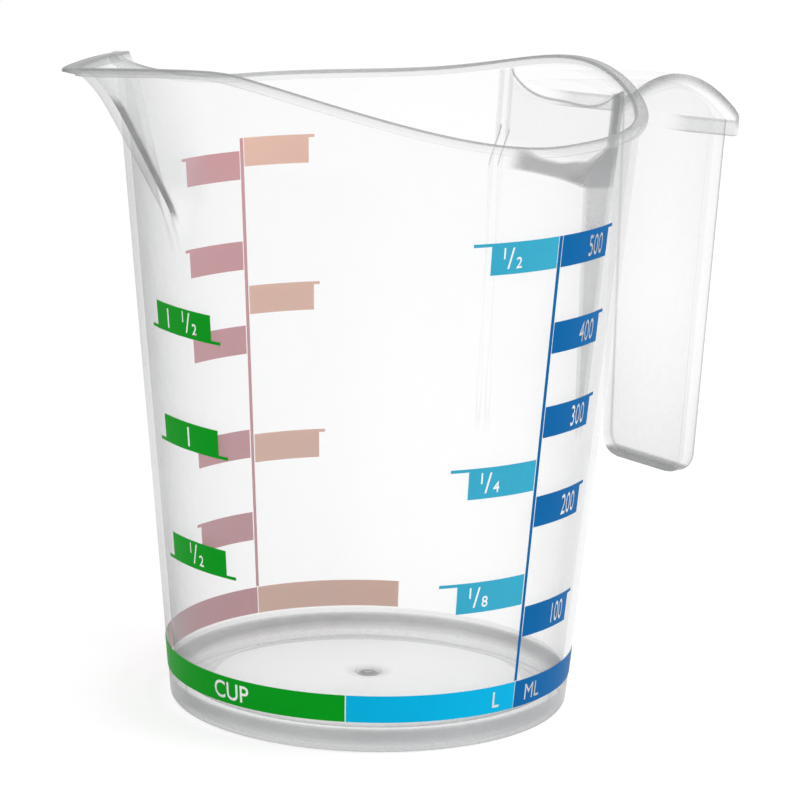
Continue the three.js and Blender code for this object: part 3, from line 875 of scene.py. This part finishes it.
def plate_mesh(rows, across, place, open_row):
    """A thin moulded plate, left open along open_row, where it joins the rest of the jug.

    place(u, v, level) gives a point and its depths, with level 0 on top and 1 below.
    """
    mesh = bmesh.new()
    layers = depth_layers(mesh)
    top, foot = [
        [[add_point(mesh, layers, *place(u, v, level)) for v in across] for u in rows]
        for level in (0, 1)
    ]
    for i in range(len(rows) - 1):
        for j in range(len(across) - 1):
            mesh.faces.new((top[i][j], top[i + 1][j], top[i + 1][j + 1], top[i][j + 1]))
            mesh.faces.new((foot[i][j], foot[i][j + 1], foot[i + 1][j + 1], foot[i + 1][j]))
    last = len(across) - 1
    order = list(range(len(rows)))
    if open_row:
        order.reverse()
    border = [(i, 0) for i in order]
    border += [(order[-1], j) for j in range(1, last)]
    border += [(i, last) for i in reversed(order)]
    rings = [[top[i][j] for i, j in border]]
    for level in (0.2, 0.8):
        points = [place(rows[i], across[j], level) for i, j in border]
        rings.append([add_point(mesh, layers, *point) for point in points])
    rings.append([foot[i][j] for i, j in border])
    for upper, lower in zip(rings, rings[1:]):
        for corners in zip(upper, upper[1:], lower[1:], lower):
            mesh.faces.new(corners)
    bmesh.ops.recalc_face_normals(mesh, faces=mesh.faces[:])
    sharp = [
        edge for edge in mesh.edges
        if len(edge.link_faces) == 2 and edge.calc_face_angle() > SHARPEST_EDGE
    ]
    bmesh.ops.bevel(
        mesh, geom=sharp, affect="EDGES", clamp_overlap=True,
        offset=MOULD_EDGE, segments=3, profile=0.5,
    )
    return mesh


ROOT_RADIUS = cone_radius(bead_foot(0))
ROOF_RUN = ROOF_REACH - ROOT_RADIUS

# How strongly the painted shade shows on the handle's sides and edge lines, and on its solid bead.
ROOF_SIDE_SHADE = 0.55
ROOF_END_SHADE_LINE = 0.75
STRAP_SIDE_SHADE = 0.42
STRAP_CORNER_SHADE_LINE = 0.6
STRAP_BEAD_SOLID_AND_SHADE = 0.7


def roof_height(x, y):
    """Top of the roof: a vault that falls outwards and to both sides, blended into the rim."""
    away = max(0, math.hypot(x, y) - ROOT_RADIUS)
    along = max(0, (x - ROOT_RADIUS) / ROOF_RUN)
    crown = CREST - ROOF_CROWN_DROP - ROOF_FALL * along ** 2
    vault = crown - ROOF_ARCH * (y / ROOF_HALF_WIDTH) ** 2
    rim_line = bead_foot(math.degrees(math.atan2(y, x))) - ROOF_ROOT_DROP
    return lerp(rim_line, vault, 1 - math.exp(-away / ROOF_BLEND))


def rounded_end(half_width, corner, left):
    """Half width of a plate at a distance left from its end, with round corners."""
    if left >= corner:
        return half_width
    return half_width - corner + math.sqrt(max(0, corner ** 2 - (corner - left) ** 2))


def both_sides(half):
    return [-v for v in reversed(half[1:])] + half


def roof_depth(v, left, level):
    """The roof's long sides carry painted shade all through; its outer end shows one painted dark
    corner line.
    """
    upper = level < 0.5
    if abs(v) > 0.999:
        solid_and_shade = ROOF_SIDE_SHADE if level in (0, 1) else 0.36
        solid_and_shade *= 1 - ease(left, 0.45 * ROOF_RUN, 0.72 * ROOF_RUN)
        line = ROOF_END_SHADE_LINE if upper else 0.1
        return depth(lerp(line, solid_and_shade, ease(left, 0.3, ROOF_CORNER)), outline_shade=0.15)
    if left < 0.35:
        line = lerp(0.52, ROOF_END_SHADE_LINE, ease(abs(v), 0, 0.6))
        return depth(line if upper else 0.04, outline_shade=0.15)
    return depth(0.02, outline_shade=0.1)


def roof_mesh():
    edge = ROOF_LIP_WIDTH / ROOF_HALF_WIDTH
    across = both_sides(steps(0, 1 - 2 * edge, 0.06) + steps(1 - 2 * edge, 1, edge / 3)[1:])
    rows = steps(0, 0.88, 0.035) + [0.9, 0.92, 0.94, 0.955, 0.97, 0.98, 0.99, 1]
    sunk = 0.1  # the roof's root lies this far inside the wall

    def place(u, v, level):
        left = (1 - u) * ROOF_RUN
        y = v * rounded_end(ROOF_HALF_WIDTH, ROOF_CORNER, left)
        root_x = math.sqrt(ROOT_RADIUS ** 2 - y ** 2)
        inset = min(left, (1 - abs(v)) * ROOF_HALF_WIDTH)
        near_edge = 1 - ease(inset, ROOF_LIP_WIDTH, ROOF_LIP_WIDTH * 2)
        drop = level * (ROOF_THICKNESS + ROOF_LIP * near_edge)
        turn = math.atan2(y, root_x)
        start = wall_radius(math.degrees(turn), roof_height(root_x, y) - drop) - sunk
        x = lerp(start * math.cos(turn), ROOF_REACH, u)
        return x, y, roof_height(x, y) - drop, roof_depth(v, left, level)

    return plate_mesh(rows, across, place, open_row=0)


def strap_depth(v, from_foot, level):
    """The strap is clear in its middle and greyer towards its foot, with a painted dark outer
    corner and side shade, and a solid bead at its foot with painted shade.
    """
    bead = 1 - ease(from_foot, 1.3, 2.0)
    if abs(v) > 0.999:
        corner = STRAP_CORNER_SHADE_LINE if level == 0 else 0
        side = (1 - level) * lerp(STRAP_SIDE_SHADE, 0.2, ease(from_foot, 3, 32))
        return depth(lerp(max(corner, side), STRAP_BEAD_SOLID_AND_SHADE, bead), outline_shade=0.15)
    sheet = lerp(0.17, 0.08, ease(from_foot, 0, 40)) + 0.05 * v * v
    return depth(sheet + 0.5 * bead, outline_shade=0.15)


def strap_mesh():
    top_x = ROOF_REACH - STRAP_SETBACK
    length = CREST - STRAP_FOOT_HEIGHT
    rows = [z / length for z in steps(0, STRAP_CORNER, 0.35)]
    rows += steps(STRAP_CORNER / length, 1, 0.04)[1:]
    edge = STRAP_BEAD_WIDTH / STRAP_HALF_WIDTH_FOOT
    bead_columns = [1 - share * edge for share in (1.2, 1, 0.6, 0.35)]
    across = both_sides(steps(0, 1 - 1.5 * edge, 0.08) + bead_columns + [1])

    def place(u, v, level):
        outer_x = top_x - STRAP_LEAN * (1 - u)
        widest = lerp(STRAP_HALF_WIDTH_FOOT, STRAP_HALF_WIDTH_TOP, u)
        from_foot = u * length
        y = v * rounded_end(widest, STRAP_CORNER, from_foot)
        at_side = ease(abs(v), 1 - 1.5 * edge, 1 - edge)
        at_foot = 1 - ease(from_foot, STRAP_BEAD_WIDTH * 0.9, STRAP_BEAD_WIDTH * 1.4)
        x = outer_x - level * (STRAP_THICKNESS + STRAP_BEAD * max(at_side, at_foot))
        ceiling = roof_height(x, y) - ROOF_THICKNESS + 0.05
        return x, y, lerp(STRAP_FOOT_HEIGHT, ceiling, u), strap_depth(v, from_foot, level)

    return plate_mesh(rows, across, place, open_row=len(rows) - 1)


def moulded_jug():
    """The jug as one smooth moulding: vessel, handle roof and strap."""
    whole = bmesh.new()
    for part in (vessel_mesh(), roof_mesh(), strap_mesh()):
        shape = bpy.data.meshes.new("part")
        part.to_mesh(shape)
        part.free()
        whole.from_mesh(shape)
        bpy.data.meshes.remove(shape)
    bmesh.ops.translate(whole, verts=whole.verts[:], vec=(AXIS_X, 0, 0))
    bmesh.ops.scale(whole, verts=whole.verts[:], vec=(MM, MM, MM))
    for face in whole.faces:
        face.smooth = True
    piece = link_mesh("jug_moulding", whole)
    assign(piece, plastic)
    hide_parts("jug_body")
    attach(piece, "root")
    return piece


moulded_jug()


# ---- Stage, light and camera ----
FLOOR_TONE = 0.6
FLOOR_GLOW = 0.58
DIFFUSE_SKY = 0.75  # as light
SEEN_SKY = 1.0  # as background
LAMP_TARGET = (0, 0, 0.06)
LAMP_SIZE = (0.8, 0.8)
CAMERA_LENS = 185.5713
CAMERA_PLACE = (-0.473893, -0.594173, 0.237038)


def studio_floor():
    """A plain pale floor that keeps a soft shadow; it reads as white where nothing shades it."""
    mesh = bmesh.new()
    bmesh.ops.create_grid(mesh, x_segments=8, y_segments=8, size=3.0)
    floor = link_mesh("floor", mesh)
    material, nodes, links, surface = start_material("pale floor")
    output = next(n for n in nodes if n.type == "OUTPUT_MATERIAL")
    surface.inputs["Base Color"].default_value = (FLOOR_TONE, FLOOR_TONE, FLOOR_TONE, 1)
    surface.inputs["Roughness"].default_value = 0.9
    surface.inputs["Specular IOR Level"].default_value = 0.0
    glow = nodes.new("ShaderNodeEmission")
    glow.inputs["Strength"].default_value = FLOOR_GLOW
    both = nodes.new("ShaderNodeAddShader")
    links.new(surface.outputs["BSDF"], both.inputs[0])
    links.new(glow.outputs["Emission"], both.inputs[1])
    links.new(both.outputs["Shader"], output.inputs["Surface"])
    assign(floor, material)
    return floor


def studio_world():
    """White all round: full where it is seen, and less where it only lights."""
    world = bpy.data.worlds.new("white studio")
    world.use_nodes = True
    nodes, links = world.node_tree.nodes, world.node_tree.links
    nodes.clear()
    path = nodes.new("ShaderNodeLightPath")
    seen = nodes.new("ShaderNodeMath")
    seen.operation = "MAXIMUM"
    links.new(path.outputs["Is Camera Ray"], seen.inputs[0])
    links.new(path.outputs["Is Glossy Ray"], seen.inputs[1])
    either = nodes.new("ShaderNodeMath")
    either.operation = "MAXIMUM"
    links.new(seen.outputs["Value"], either.inputs[0])
    links.new(path.outputs["Is Transmission Ray"], either.inputs[1])
    strength = nodes.new("ShaderNodeMapRange")
    strength.inputs["To Min"].default_value = DIFFUSE_SKY
    strength.inputs["To Max"].default_value = SEEN_SKY
    links.new(either.outputs["Value"], strength.inputs["Value"])
    light = nodes.new("ShaderNodeBackground")
    links.new(strength.outputs["Result"], light.inputs["Strength"])
    output = nodes.new("ShaderNodeOutputWorld")
    links.new(light.outputs["Background"], output.inputs["Surface"])
    bpy.context.scene.world = world


def soft_lamp(name, place, power):
    data = bpy.data.lights.new(name, "AREA")
    data.shape = "RECTANGLE"
    data.size, data.size_y = LAMP_SIZE
    data.energy = power
    lamp = bpy.data.objects.new(name, data)
    lamp.location = place
    lamp.rotation_euler = (Vector(LAMP_TARGET) - Vector(place)).to_track_quat("-Z", "Y").to_euler()
    bpy.context.scene.collection.objects.link(lamp)


def photo_camera():
    """The photograph's viewpoint, fitted to its rim, foot and printed scale."""
    data = bpy.data.cameras.new("camera")
    data.lens = CAMERA_LENS
    data.sensor_width = 36
    camera = bpy.data.objects.new("camera", data)
    right = Vector((0.782969, -0.621616, 0.023521))
    up = Vector((0.125212, 0.194526, 0.972873))
    back = Vector((-0.609329, -0.758784, 0.230142))
    turned = Matrix((right, up, back)).transposed().to_4x4()
    camera.matrix_world = Matrix.Translation(CAMERA_PLACE) @ turned
    bpy.context.scene.collection.objects.link(camera)
    bpy.context.scene.camera = camera


studio_floor()
studio_world()
soft_lamp("key", (0.8, -0.8, 0.9), 7)
soft_lamp("fill", (-0.6, -1.0, 0.7), 2)
photo_camera()
bpy.context.scene.view_settings.view_transform = "Standard"
